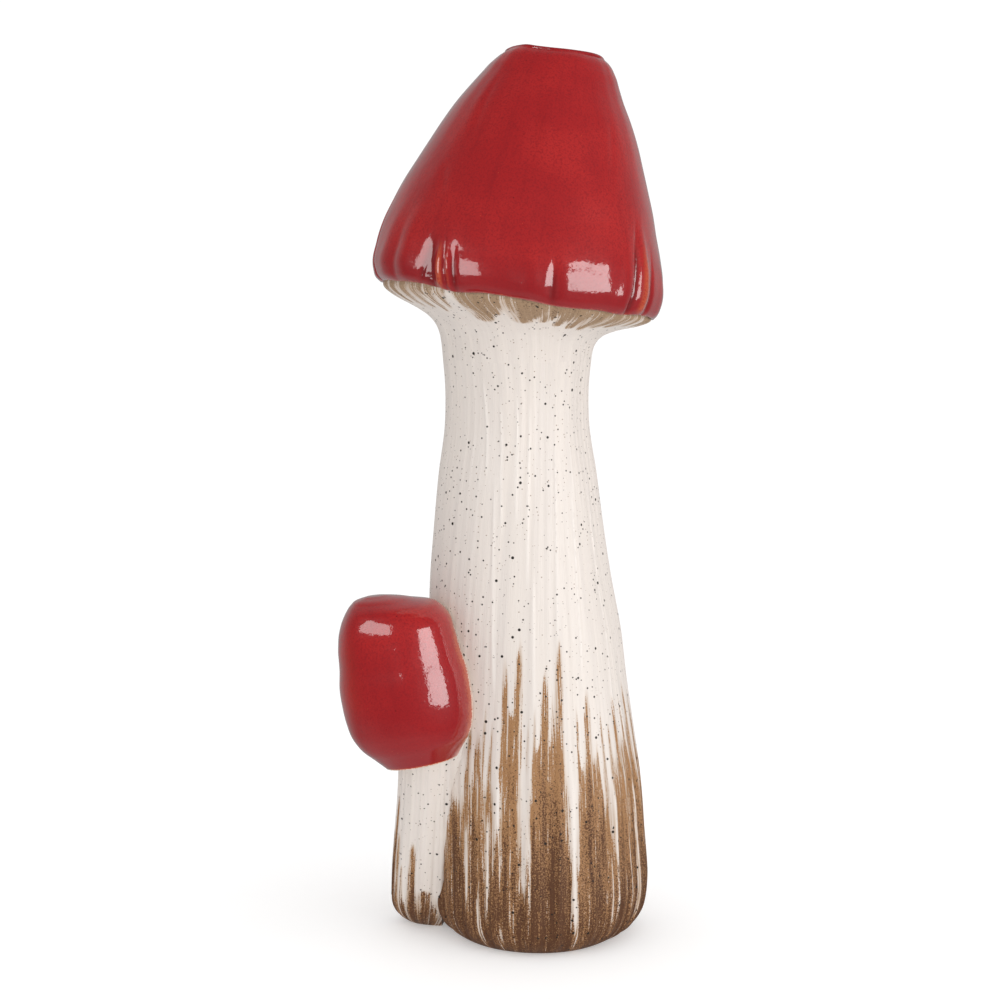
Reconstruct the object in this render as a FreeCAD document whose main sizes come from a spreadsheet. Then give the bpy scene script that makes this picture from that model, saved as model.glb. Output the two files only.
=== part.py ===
import FreeCAD, Part

import math
import os

import Sketcher

# A hollow stoneware mushroom, in millimetres, with a small mushroom luted to the left of its stem.
# Z is up, the origin is the centre of the tall stem's foot on the ground, and the front faces -Y.
# The castings meet face to face, and a ring of slip lies in a groove across each joint.

SIZES = {
    # Tall stem
    "stem_height": 226,  # from the ground to the neck joint
    "stem_radius": 41,
    "stem_lean": 10.1,  # how far left of the foot the neck is
    "stem_back": 4,  # how far behind the foot the neck is
    "neck_radius": 28,
    "foot_round": 15,
    "foot_start": 25,  # degrees up the foot's rounding at which the ground cuts it off
    "foot_ring": 9,  # width of the ring that the stem stands on
    "foot_recess": 1.5,
    "floor_thickness": 8,
    "wall": 5.5,
    # Cap, in its own tipped frame, whose origin is the middle of the hem
    "cap_rise": 21,  # from the neck joint to the middle of the hem
    "cap_tilt": 9.9,
    "cap_bearing": 37,  # the way the cap tips, from +X towards +Y
    "hem_tuck": 3.7,  # how far the hem's radius lies inside the dome's widest
    "hem_height": 1,  # the hem joint above the frame's origin
    "hem_wall": 5.8,
    "dome_radius": 55.2,
    "dome_height": 93.5,
    "dome_shift": 1.8,  # how far left the dome bulges
    "pleat_depth": 2.2,
    "rim_radius": 17.2,
    "mouth_radius": 12.5,
    "mouth_length": 8.5,
    "mouth_shift": 1.4,  # how far right of the frame's axis the mouth is
    # Locating lips
    "lip_height": 4,
    "lip_wall": 2.8,
    "lip_clearance": 0.3,
    # Slip in the joints
    "slip_width": 2.2,
    "slip_height": 1.6,
    "slip_clearance": 0.15,
    "slip_land": 1.2,  # bare face inside the small joints' slip
    "lute_gap": 0.3,  # between the tall stem and what is luted to its side
    # Small stem
    "small_foot_reach": 6.1,  # from the tall stem's surface to the small foot's centre
    "small_foot_bearing": 166,
    "small_stem_radius": 14.2,
    "small_foot_round": 13,
    "small_stem_shift": 6.5,  # from the small cap's axis to the top of its stem, towards the tall stem
    "vent_radius": 3.5,
    # Small cap, in its own tipped frame, whose origin is the middle of its underside
    "small_height": 73.5,
    "small_reach": 10.6,  # from the tall stem's surface to the small cap's axis
    "small_bearing": 211,
    "small_tilt": 11.5,
    "small_tilt_bearing": 163,
    "small_radius": 24.5,
    "small_dome_height": 66,
    "small_wall": 4.5,
    "small_hem_radius": 14,
    "small_hem_height": 0.5,  # from the underside up to the hem's lower edge
    "small_gill_radius": 11.5,
    "small_gill_thickness": 4,
    "small_spigot_radius": 6.4,
    "overrun": 1,  # how far a cut runs past the face that it opens
}

# Sizes that follow from those above
FORMULAS = {
    "hem_radius": "=dome_radius - hem_tuck",
}

# Tall stem above its foot: height as a share of stem_height, lean as a share of stem_lean and stem_back,
# and girth from 0 at neck_radius to 1 at stem_radius.
STEM_SHARES = [
    (0.088, 0.0, 1.0),
    (0.177, 0.11, 0.977),
    (0.266, 0.235, 0.954),
    (0.354, 0.42, 0.87),
    (0.442, 0.58, 0.76),
    (0.531, 0.705, 0.66),
    (0.62, 0.87, 0.49),
    (0.708, 0.95, 0.31),
    (0.796, 0.99, 0.14),
    (0.885, 1.01, -0.07),
    (0.951, 1.01, -0.077),
    (1.0, 1.0, 0.0),
]

# Share of the foot's rounding, from the ground to the upright side
FOOT_ARC_SHARES = [0.0, 0.31, 0.65, 1.0]

# Underside of the cap between the neck and the hem: rise above the neck joint as a share of cap_rise, flare
# from 0 at neck_radius to 1 at hem_radius, share of the cap's tilt, and how much of the wall lies inwards.
SKIRT_SHARES = [
    (0.167, 0.023, 0.38, 1.0),
    (0.314, 0.06, 0.6, 1.0),
    (0.445, 0.132, 0.73, 0.85),
    (0.567, 0.262, 0.8, 0.6),
    (0.69, 0.489, 0.85, 0.35),
    (0.795, 0.753, 0.9, 0.1),
    (0.93, 0.97, 0.95, 0.0),
]

# Dome: height above the hem joint as a share of dome_height, radius as a share of dome_radius, and bulge to
# the left as a share of dome_shift.
DOME_SHARES = [
    (0.012, 0.974, 0.2),
    (0.043, 1.0, 0.4),
    (0.15, 0.998, 0.6),
    (0.24, 0.964, 0.8),
    (0.326, 0.916, 0.8),
    (0.412, 0.867, 0.65),
    (0.498, 0.807, 0.45),
    (0.585, 0.745, 0.25),
    (0.672, 0.682, 0.05),
    (0.758, 0.61, -0.1),
    (0.848, 0.52, -0.35),
    (0.892, 0.477, -0.6),
    (0.938, 0.432, -0.75),
    (0.98, 0.368, -0.8),
]

# Pleats of the dome: angle in degrees from the front towards the right, half width in degrees, depth as a
# share of pleat_depth, and the share of the dome's height at which the pleat fades out.
PLEAT_SHARES = [
    (-44, 5, 0.8, 0.4),
    (-34, 5, 1.0, 0.5),
    (-25, 5, 0.7, 0.35),
    (10, 6, 0.4, 0.3),
    (52, 7, 1.0, 0.5),
    (100, 7, 0.8, 0.5),
    (135, 6, 0.6, 0.4),
    (195, 7, 0.9, 0.5),
    (235, 6, 0.6, 0.4),
    (290, 7, 0.8, 0.5),
]
DOME_POINTS = 72

# Small stem above its foot: share of the way to its top, and girth as a share of small_stem_radius.
SMALL_STEM_SHARES = [(0.28, 1.02), (0.45, 0.99), (0.65, 0.95), (0.85, 0.97), (1.0, 1.04)]

# Small cap above its underside: height as a share of small_dome_height, radius as a share of small_radius,
# and shift to the left as a share of small_radius.
SMALL_DOME_SHARES = [
    (0.067, 0.722, 0.0),
    (0.12, 0.841, 0.0),
    (0.187, 0.927, 0.0),
    (0.3, 0.988, 0.0),
    (0.4, 1.0, 0.0),
    (0.51, 0.988, 0.0),
    (0.61, 0.935, 0.0),
    (0.74, 0.894, 0.0),
    (0.82, 0.865, 0.0),
    (0.88, 0.79, 0.01),
    (0.925, 0.68, 0.03),
    (0.96, 0.5, 0.12),
    (0.985, 0.34, 0.18),
    (1.0, 0.16, 0.21),
]


def make_sheet(document):
    """The spreadsheet that holds every size under its own name."""
    sheet = document.addObject("Spreadsheet::Sheet", "sizes")
    for row, (name, value) in enumerate((SIZES | FORMULAS).items(), start=1):
        sheet.set(f"A{row}", name)
        sheet.set(f"B{row}", str(value))
        sheet.setAlias(f"B{row}", name)
    document.recompute()
    return sheet


document = FreeCAD.newDocument("mushroom")
sheet = make_sheet(document)


def size(name):
    """The sheet's value of a size, for the shapes that are worked out here."""
    return float(sheet.get(name))


def frame(x="0", y="0", z="0", tilt="0", bearing="0"):
    """The expression of a frame at x, y, z whose Z axis is tipped by tilt towards bearing."""
    axis = f"vector(-sin({bearing}); cos({bearing}); 0)"
    return f"placement(vector({x}; {y}; {z}); rotation({axis}; {tilt}))"


def add_ring(body, name, radius, place):
    """A sketch of one circle in body, at the frame place."""
    plane = [feature for feature in body.Origin.OriginFeatures if feature.Role == "XY_Plane"][0]
    sketch = body.newObject("Sketcher::SketchObject", name)
    sketch.AttachmentSupport = [(plane, "")]
    sketch.MapMode = "FlatFace"
    sketch.addGeometry(Part.Circle())
    sketch.addConstraint(Sketcher.Constraint("Coincident", 0, 3, -1, 1))
    index = sketch.addConstraint(Sketcher.Constraint("Radius", 0, sketch.Geometry[0].Radius))
    sketch.setExpression(f"Constraints[{index}]", radius)
    sketch.setExpression("AttachmentOffset", place)
    return sketch


def add_loft(body, name, rings, kind="Additive", ruled=False):
    """A loft through rings, each a radius and a frame; kind is Additive or Subtractive."""
    sketches = [add_ring(body, f"{name}_ring", radius, place) for radius, place in rings]
    loft = body.newObject(f"PartDesign::{kind}Loft", name)
    loft.Profile = sketches[0]
    loft.Sections = sketches[1:]
    loft.Ruled = ruled
    return loft


def new_body(name):
    """An empty body."""
    body = document.addObject("PartDesign::Body", name)
    body.Label = name
    return body


def lofted_body(name, rings, ruled=False):
    """A body that is one loft through rings."""
    body = new_body(name)
    add_loft(body, f"{name}_loft", rings, ruled=ruled)
    return body


def add_disc(body, name, radius, place, height, reverse=False):
    """A round pad on the frame place; reverse makes it hang below the frame."""
    sketch = add_ring(body, f"{name}_ring", radius, place)
    pad = body.newObject("PartDesign::Pad", name)
    pad.Profile = sketch
    pad.Reversed = reverse
    pad.setExpression("Length", height)
    return pad


def tube(name, inner, outer, height, place):
    """A body that is a flat ring, as high below the frame place as above it."""
    body = new_body(name)
    low = f"{place} * {frame(z=f'-({height}) / 2')}"
    add_disc(body, f"{name}_pad", outer, low, height)
    add_loft(body, f"{name}_bore", [(inner, low), (inner, f"{low} * {frame(z=height)}")], "Subtractive", True)
    return body


def cut(name, base, tool):
    """What is left of base without tool."""
    result = document.addObject("Part::Cut", name)
    result.Label = name
    result.Base = base
    result.Tool = tool
    return result


def slip_groove_and_ring(name, inner, place):
    """The groove across a joint at the frame place, and the ring of slip that lies in it."""
    outer = f"{inner} + sizes.slip_width"
    groove = tube(f"{name}_groove", inner, outer, "sizes.slip_height", place)
    ring = tube(
        name,
        f"{inner} + sizes.slip_clearance",
        f"{outer} - sizes.slip_clearance",
        "sizes.slip_height",
        place,
    )
    return groove, ring


# Frames that several pieces share

NECK = frame("-sizes.stem_lean", "sizes.stem_back", "sizes.stem_height")


def above_neck(rise, tilt_share):
    """A frame on the upright line above the neck, tipped by a share of the cap's tilt."""
    height = f"sizes.stem_height + {rise}"
    tilt = f"sizes.cap_tilt * {tilt_share}"
    return frame("-sizes.stem_lean", "sizes.stem_back", height, tilt, "sizes.cap_bearing")


CAP = above_neck("sizes.cap_rise", 1)
HEM = f"{CAP} * {frame(z='sizes.hem_height')}"

# The small cap sits at the height of this row of the tall stem
SEAT_LEAN_SHARE, SEAT_GIRTH_SHARE = STEM_SHARES[2][1:]


def beside_stem(reach, bearing, lean_share):
    """The x and y of a place beside the tall stem, reach from its surface in the direction bearing."""
    girth = f"(sizes.neck_radius + (sizes.stem_radius - sizes.neck_radius) * {SEAT_GIRTH_SHARE} + {reach})"
    x = f"{girth} * cos({bearing}) - sizes.stem_lean * {lean_share}"
    y = f"{girth} * sin({bearing}) + sizes.stem_back * {lean_share}"
    return x, y


SMALL_FOOT = beside_stem("sizes.small_foot_reach", "sizes.small_foot_bearing", 0)
SMALL_SEAT = beside_stem("sizes.small_reach", "sizes.small_bearing", SEAT_LEAN_SHARE)
SMALL_CAP = frame(*SMALL_SEAT, "sizes.small_height", "sizes.small_tilt", "sizes.small_tilt_bearing")


def in_small_cap(x="0", z="0"):
    """A frame at x and z of the small cap's own frame."""
    return f"{SMALL_CAP} * {frame(x, '0', z)}"


# The hem's lower edge, and the ledge inside it that the gill disc is seated on
SMALL_HEM_EDGE = in_small_cap(z="sizes.small_hem_height")
SMALL_LEDGE = in_small_cap(z="sizes.small_gill_thickness")


# Tall stem


def stem_rings(extra):
    """The tall stem's rings above its foot, with extra added to each radius."""
    rings = []
    for height_share, lean_share, girth_share in STEM_SHARES:
        radius = f"sizes.neck_radius + (sizes.stem_radius - sizes.neck_radius) * {girth_share} + {extra}"
        place = frame(
            f"-sizes.stem_lean * {lean_share}",
            f"sizes.stem_back * {lean_share}",
            f"sizes.stem_height * {height_share}",
        )
        rings.append((radius, place))
    return rings


def foot_rings(stem_radius, rounding, x="0", y="0"):
    """The rings of a stem's rounded foot, from the ground up."""
    rings = []
    for share in FOOT_ARC_SHARES:
        angle = f"(sizes.foot_start + (90 - sizes.foot_start) * {share})"
        radius = f"{stem_radius} - {rounding} * (1 - sin{angle})"
        rings.append((radius, frame(x, y, f"{rounding} * (cos(sizes.foot_start) - cos{angle})")))
    return rings


def make_main_stem(neck_groove):
    """The tall hollow stem: closed at the foot, open at the neck, with a recess under its floor."""
    body = new_body("stem_casting")
    foot = foot_rings("sizes.stem_radius", "sizes.foot_round")
    add_loft(body, "stem_skin", foot + stem_rings("0"))
    floor = ("sizes.stem_radius - 2 * sizes.wall", frame(z="sizes.floor_thickness"))
    add_loft(body, "stem_hollow", [floor] + stem_rings("-sizes.wall"), "Subtractive")
    # The neck is bored straight for the spigot above it
    neck_bore = "sizes.neck_radius - sizes.wall"
    seat_end = f"{NECK} * {frame(z='-sizes.lip_height - sizes.overrun')}"
    seat = [(neck_bore, seat_end), (neck_bore, f"{NECK} * {frame(z='sizes.overrun')}")]
    add_loft(body, "neck_seat", seat, "Subtractive", True)
    recess_radius = f"{foot[0][0]} - sizes.foot_ring"
    recess = [(recess_radius, frame()), (recess_radius, frame(z="sizes.foot_recess"))]
    add_loft(body, "foot_recess_cut", recess, "Subtractive", True)
    return cut("main_stem", body, neck_groove)


def stem_clearance(name, gap):
    """The space that the tall stem and a gap round it take up, for cutting what is luted to its side."""
    radius = f"sizes.stem_radius + {gap}"
    rounding_top = frame(z="sizes.foot_round * cos(sizes.foot_start)")
    foot = [(radius, frame(z="-sizes.overrun")), (radius, rounding_top)]
    return lofted_body(name, foot + stem_rings(gap))


# Underside of the cap


def skirt_rings(inwards=0):
    """The rings between the neck and the hem: the outside, or the hollow where inwards is 1."""
    rings = []
    for rise_share, flare_share, tilt_share, inward_share in SKIRT_SHARES:
        radius = f"sizes.neck_radius + (sizes.hem_radius - sizes.neck_radius) * {flare_share}"
        radius += f" - sizes.wall * {inwards * inward_share}"
        rise = f"sizes.cap_rise * {rise_share} + sizes.wall * {inwards * (1 - inward_share)}"
        rings.append((radius, above_neck(rise, tilt_share)))
    return rings


def make_gill_skirt(neck_groove, hem_groove):
    """The funnel under the cap, with a spigot in the neck and a lip inside the hem."""
    spigot = "(sizes.neck_radius - sizes.wall - sizes.lip_clearance)"
    lip = "(sizes.hem_radius - sizes.hem_wall - sizes.lip_clearance)"
    spigot_bore = f"{spigot} - sizes.lip_wall"
    lip_bore = f"{lip} - sizes.lip_wall"
    spigot_end = f"{NECK} * {frame(z='-sizes.lip_height - sizes.overrun')}"
    lip_end = f"{HEM} * {frame(z='sizes.lip_height + sizes.overrun')}"
    body = new_body("skirt_casting")
    add_loft(body, "skirt_skin", [("sizes.neck_radius", NECK)] + skirt_rings() + [("sizes.hem_radius", HEM)])
    add_disc(body, "hem_lip", lip, HEM, "sizes.lip_height")
    add_disc(body, "neck_spigot", spigot, NECK, "sizes.lip_height", reverse=True)
    hollow = [(spigot_bore, spigot_end), (spigot_bore, NECK)]
    hollow += skirt_rings(inwards=1)[:-2]
    hollow += [(lip_bore, HEM), (lip_bore, lip_end)]
    add_loft(body, "skirt_hollow", hollow, "Subtractive", True)
    return cut("gill_skirt", cut("skirt_with_neck_groove", body, neck_groove), hem_groove)


# Dome


def pleat_inset(angle, height_share):
    """How far the pleats draw the dome in at an angle in degrees and a share of its height."""
    inset = 0
    for middle, half_width, depth_share, top_share in PLEAT_SHARES:
        away = (angle - middle + 180) % 360 - 180
        fade = max(0, 1 - height_share / top_share) ** 1.5
        inset += size("pleat_depth") * depth_share * fade * math.exp(-((away / half_width) ** 2))
    return inset


def dome_wire(radius, shift, height, height_share):
    """One closed, pleated outline of the dome."""
    points = []
    for step in range(DOME_POINTS):
        angle = 360 * step / DOME_POINTS
        reach = radius - pleat_inset(angle, height_share)
        turn = math.radians(angle)
        points.append(FreeCAD.Vector(shift + reach * math.sin(turn), -reach * math.cos(turn), height))
    curve = Part.BSplineCurve()
    curve.interpolate(Points=points, PeriodicFlag=True)
    return Part.Wire(curve.toShape())


def make_dome_skin():
    """The dome's outside, as a solid from the hem joint to the rim."""
    hem, height = size("hem_height"), size("dome_height")
    wires = [dome_wire(size("hem_radius"), 0, hem, 0)]
    for height_share, radius_share, shift_share in DOME_SHARES:
        wires.append(
            dome_wire(
                size("dome_radius") * radius_share,
                -size("dome_shift") * shift_share,
                hem + height * height_share,
                height_share,
            )
        )
    wires.append(dome_wire(size("rim_radius"), size("mouth_shift"), hem + height, 1))
    skin = document.addObject("Part::Feature", "dome_skin")
    skin.Shape = Part.makeLoft(wires, True, False)
    skin.setExpression("Placement", CAP)
    return skin


def make_dome_hollow():
    """The space inside the dome, and the mouth above it."""
    body = new_body("dome_hollow")
    seat = "sizes.hem_radius - sizes.hem_wall"
    rings = [(seat, f"{HEM} * {frame(z='-sizes.overrun')}")]
    rings.append((seat, f"{HEM} * {frame(z='sizes.lip_height + sizes.overrun')}"))
    for height_share, radius_share, shift_share in DOME_SHARES[2:-3]:
        radius = f"sizes.dome_radius * {radius_share} - sizes.wall - sizes.pleat_depth"
        shift = f"-sizes.dome_shift * {shift_share}"
        rings.append((radius, f"{HEM} * {frame(x=shift, z=f'sizes.dome_height * {height_share}')}"))
    throat = f"{HEM} * {frame(x='sizes.mouth_shift', z='sizes.dome_height - sizes.mouth_length')}"
    rings.append(("sizes.mouth_radius + sizes.wall / 2", throat))
    add_loft(body, "dome_hollow_loft", rings, ruled=True)
    add_disc(body, "mouth", "sizes.mouth_radius", throat, "sizes.mouth_length + sizes.overrun")
    return body


def make_cap_dome(hem_groove):
    """The pleated hollow dome with its open mouth."""
    return cut("cap_dome", cut("dome_shell", make_dome_skin(), make_dome_hollow()), hem_groove)


# Small mushroom


def small_stem_rings():
    """The small stem's rings, from its foot to inside the small cap's outline."""
    rings = foot_rings("sizes.small_stem_radius", "sizes.small_foot_round", *SMALL_FOOT)
    top_reach = "(sizes.small_reach - sizes.small_stem_shift)"
    top_x, top_y = beside_stem(top_reach, "sizes.small_bearing", SEAT_LEAN_SHARE)
    for share, girth_share in SMALL_STEM_SHARES:
        x = f"({SMALL_FOOT[0]}) * {1 - share} + ({top_x}) * {share}"
        y = f"({SMALL_FOOT[1]}) * {1 - share} + ({top_y}) * {share}"
        z = f"(sizes.small_height + sizes.small_stem_radius) * {share}"
        rings.append((f"sizes.small_stem_radius * {girth_share}", frame(x, y, z)))
    return rings


def make_small_stem(clearance, neck_groove):
    """The small stem: hollow down its middle, and fitted to the tall stem and to the small cap."""
    body = new_body("small_stem_casting")
    add_loft(body, "small_stem_skin", small_stem_rings())
    vent = [("sizes.vent_radius", frame(*SMALL_FOOT)), ("sizes.vent_radius", SMALL_LEDGE)]
    add_loft(body, "small_stem_vent", vent, "Subtractive", True)
    cap_room = new_body("small_cap_clearance")
    hem_room = "sizes.small_hem_radius + sizes.lute_gap"
    add_disc(cap_room, "small_hem_clearance", hem_room, SMALL_CAP, "sizes.small_hem_height")
    dome_room = [(hem_room, SMALL_HEM_EDGE)] + small_dome_rings("sizes.lute_gap")
    add_loft(cap_room, "small_dome_clearance", dome_room)
    fitted = cut("small_stem_under_cap", cut("small_stem_beside_stem", body, clearance), cap_room)
    return cut("small_stem", fitted, neck_groove)


def small_dome_rings(extra, inset="0"):
    """The small dome's rings above its hem, with extra added to each radius and drawn in at both ends."""
    rings = []
    for height_share, radius_share, shift_share in SMALL_DOME_SHARES:
        height = f"{inset} + (sizes.small_dome_height - 2 * {inset}) * {height_share}"
        place = in_small_cap(f"-sizes.small_radius * {shift_share}", height)
        rings.append((f"sizes.small_radius * {radius_share} + {extra}", place))
    return rings


def make_small_dome(clearance, thick_clearance, hem_groove):
    """The small hollow dome, fitted to the side of the tall stem."""
    outside = [("sizes.small_hem_radius", SMALL_HEM_EDGE)] + small_dome_rings("0")
    skin = lofted_body("small_dome_skin", outside)
    hollow_rings = small_dome_rings("-sizes.small_wall", "sizes.small_wall")[:-2]
    hollow = lofted_body("small_dome_hollow", hollow_rings, ruled=True)
    fitted_hollow = cut("small_dome_hollow_beside_stem", hollow, thick_clearance)
    shell = cut("small_dome_shell", cut("small_dome_beside_stem", skin, clearance), fitted_hollow)
    bore = new_body("small_dome_bore")
    seat_radius = "sizes.small_gill_radius + sizes.lip_clearance"
    bore_radius = "sizes.small_spigot_radius + sizes.lip_clearance"
    add_disc(bore, "small_gill_seat", seat_radius, SMALL_CAP, "sizes.small_gill_thickness")
    add_disc(bore, "small_spigot_bore", bore_radius, SMALL_LEDGE, "2 * sizes.small_wall")
    return cut("small_dome", cut("small_dome_with_bore", shell, bore), hem_groove)


def make_small_gills(clearance, neck_groove, hem_groove):
    """The small cap's underside: a disc in the hem, and a vented spigot that stands in the dome."""
    body = new_body("small_gill_casting")
    vent_top = f"{SMALL_LEDGE} * {frame(z='sizes.lip_height')}"
    vent = [("sizes.vent_radius", SMALL_CAP), ("sizes.vent_radius", vent_top)]
    add_disc(body, "small_gill_disc", "sizes.small_gill_radius", SMALL_CAP, "sizes.small_gill_thickness")
    add_disc(body, "small_spigot", "sizes.small_spigot_radius", SMALL_LEDGE, "sizes.lip_height")
    add_loft(body, "small_gill_vent", vent, "Subtractive", True)
    fitted = cut("small_gills_beside_stem", body, clearance)
    return cut("small_gills", cut("small_gills_with_neck_groove", fitted, neck_groove), hem_groove)


def make_pieces():
    """Every piece of the mushroom, by name."""
    neck_wall_middle = "sizes.neck_radius - sizes.wall / 2"
    neck_groove, neck_slip = slip_groove_and_ring(
        "neck_slip", f"({neck_wall_middle} - sizes.slip_width / 2)", NECK
    )
    hem_groove, hem_slip = slip_groove_and_ring(
        "hem_slip", "(sizes.hem_radius - (sizes.hem_wall + sizes.slip_width) / 2)", HEM
    )
    small_neck_groove, small_neck_slip = slip_groove_and_ring(
        "small_neck_slip", "(sizes.vent_radius + sizes.slip_land)", SMALL_CAP
    )
    small_hem_groove, small_hem_slip = slip_groove_and_ring(
        "small_hem_slip", "(sizes.small_spigot_radius + sizes.slip_land)", SMALL_LEDGE
    )
    clearance = stem_clearance("stem_clearance", "sizes.lute_gap")
    thick_clearance = stem_clearance("stem_clearance_and_wall", "sizes.lute_gap + sizes.small_wall")
    return [
        make_main_stem(neck_groove),
        neck_slip,
        make_gill_skirt(neck_groove, hem_groove),
        hem_slip,
        make_cap_dome(hem_groove),
        make_small_stem(clearance, small_neck_groove),
        small_neck_slip,
        make_small_gills(clearance, small_neck_groove, small_hem_groove),
        small_hem_slip,
        make_small_dome(clearance, thick_clearance, small_hem_groove),
    ]


def check(pieces):
    """Stops on any object that failed, or any piece that isn't one valid solid."""
    failed = [o.Name for o in document.Objects if {"Invalid", "Error"} & set(o.State)]
    if failed:
        raise RuntimeError(f"these objects failed: {failed}")
    for piece in pieces:
        shape = piece.Shape
        if shape.isNull() or not shape.isValid() or len(shape.Solids) != 1:
            raise RuntimeError(f"{piece.Label} isn't one valid solid")


pieces = make_pieces()
document.recompute()
check(pieces)
os.makedirs("parts", exist_ok=True)
for piece in pieces:
    piece.Shape.exportStep(f"parts/{piece.Label}.step")
    print(f"{piece.Label}: {piece.Shape.Volume:.0f} mm3")
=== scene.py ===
import math

import bpy
import numpy as np
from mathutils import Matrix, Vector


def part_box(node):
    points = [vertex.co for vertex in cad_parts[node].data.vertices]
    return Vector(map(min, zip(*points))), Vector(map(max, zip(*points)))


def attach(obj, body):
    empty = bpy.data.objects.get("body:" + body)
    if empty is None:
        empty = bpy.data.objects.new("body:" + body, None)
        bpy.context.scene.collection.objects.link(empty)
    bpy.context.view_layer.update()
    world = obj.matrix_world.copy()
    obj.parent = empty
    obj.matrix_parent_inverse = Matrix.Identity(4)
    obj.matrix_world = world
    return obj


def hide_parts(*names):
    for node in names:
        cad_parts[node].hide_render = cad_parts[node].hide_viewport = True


# A hollow stoneware mushroom with a red glazed cap, and a small one luted to the left of its stem.
# Lengths are in metres in the part's own frame. Angles are in degrees, from the front towards the right.

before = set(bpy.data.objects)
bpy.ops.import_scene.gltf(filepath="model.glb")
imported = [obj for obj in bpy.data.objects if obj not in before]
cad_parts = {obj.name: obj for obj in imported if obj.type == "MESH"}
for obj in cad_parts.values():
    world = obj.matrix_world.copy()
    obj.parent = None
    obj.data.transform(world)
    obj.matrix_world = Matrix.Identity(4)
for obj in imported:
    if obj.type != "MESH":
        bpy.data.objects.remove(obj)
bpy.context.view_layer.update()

MM = 0.001


def middle(node):
    """The middle of a CAD node's box."""
    low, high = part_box(node)
    return np.array((low + high) / 2)


# Places from the frame: the middles of the joints that the rings of slip lie in

NECK = middle("neck_slip")
HEM = middle("hem_slip")
SMALL_SEAT = middle("small_neck_slip")

# Tall stem

STEM_HEIGHT = NECK[2]
STEM_LEAN = NECK[0]
STEM_BACK = NECK[1]
STEM_RADIUS = 41 * MM
NECK_RADIUS = 28 * MM
WALL = 5.5 * MM
FOOT_ROUND = 15 * MM
FOOT_START = 25  # degrees up the foot's rounding at which the ground cuts it off
FOOT_RING = 9 * MM
FOOT_RECESS = 1.5 * MM
FLOOR_THICKNESS = 8 * MM
FOOT_TRIM = 3.4 * MM  # how far the foot is worn away at its right
FOOT_TRIM_HEIGHT = 24 * MM
FOOT_TRIM_ANGLE = 62
FOOT_TRIM_HALF_WIDTH = 42

# Cap

CAP_RISE = 21 * MM
CAP_TILT = 9.9
CAP_BEARING = 37  # from +X towards +Y
HEM_RADIUS = 51.5 * MM
HEM_WALL = 5.8 * MM
DOME_RADIUS = 55.2 * MM
DOME_HEIGHT = 93.5 * MM
DOME_SLANT = 1.12  # length of the dome's side for each length of its height
DOME_SHIFT = 1.8 * MM
RIM_ROUND = 1.1 * MM
RIM_LIP = 1 * MM  # how far the rim rises and falls
MOUTH_RADIUS = 12.5 * MM
MOUTH_LENGTH = 8.5 * MM
MOUTH_SHIFT = 1.4 * MM

# Joints

LIP_HEIGHT = 4 * MM
LIP_WALL = 2.8 * MM
LIP_CLEARANCE = 0.3 * MM
SLIP_WIDTH = 2.2 * MM
SLIP_HEIGHT = 1.6 * MM

# Small mushroom

SMALL_FOOT = np.array([-45.7, 11.4, 0]) * MM
SMALL_STEM_TOP = np.array([-40.5, -22, 87.7]) * MM
SMALL_STEM_RADIUS = 14.2 * MM
SMALL_FOOT_ROUND = 13 * MM
SMALL_FILLET = 2.2 * MM
SMALL_FILLET_REACH = 3 * MM
SMALL_FOOT_FILL = 50  # half width in degrees of the clay between the small foot and the tall one
VENT_RADIUS = 3.5 * MM
SMALL_TILT = 11.5
SMALL_TILT_BEARING = 163
SMALL_RADIUS = 24.5 * MM
SMALL_DOME_HEIGHT = 66 * MM
SMALL_WALL = 4.5 * MM
SMALL_HEM_HEIGHT = 0.5 * MM
SMALL_SEAT_RADIUS = 11.8 * MM
SMALL_SEAT_DEPTH = 4 * MM
SMALL_BORE_RADIUS = 6.7 * MM
SUNK = 1.5 * MM  # how far the small pieces reach into the tall stem's wall
NEAR = 7.5 * MM  # how far from the tall stem the small dome's surface and glaze follow it
SMALL_CLIMB = 1.6 * MM  # how far the small dome's top runs up the tall stem
SMALL_TOP_SLOPE = 0.1  # how much the small dome's top rises for each length to the left
SMALL_TONE = 0.5  # how strongly the small dome's relief colours its glaze
SMALL_WAY = 0.2  # how far up the large dome the small one's top is coloured like
NEAR_EDGE = 2.2  # how far the glaze breaks to orange near the tall stem, against the hem

# Outlines, as shares of the sizes above

# Height, lean and girth
STEM_SHARES = [
    (0, 0, 1), (0.088, 0, 1), (0.177, 0.11, 0.977), (0.266, 0.235, 0.954), (0.354, 0.42, 0.87),
    (0.442, 0.58, 0.76), (0.531, 0.705, 0.66), (0.62, 0.87, 0.49), (0.708, 0.95, 0.31), (0.796, 0.99, 0.14),
    (0.885, 1.01, -0.07), (0.951, 1.01, -0.077), (1, 1, 0),
]

# Rise, flare from the neck to the hem, tilt, and how much of the wall lies inwards
SKIRT_SHARES = [
    (0, 0, 0, 1), (0.167, 0.023, 0.38, 1), (0.314, 0.06, 0.6, 1), (0.445, 0.132, 0.73, 0.85),
    (0.567, 0.262, 0.8, 0.6), (0.69, 0.489, 0.85, 0.35), (0.795, 0.753, 0.9, 0.1), (0.93, 0.97, 0.95, 0),
    (1.048, 1, 1, 0),
]

# Rise of the rings of the skirt's inside, from the hem to the neck
SKIRT_INSIDE_SHARES = (0.72, 0.6, 0.45, 0.3, 0.15)

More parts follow.
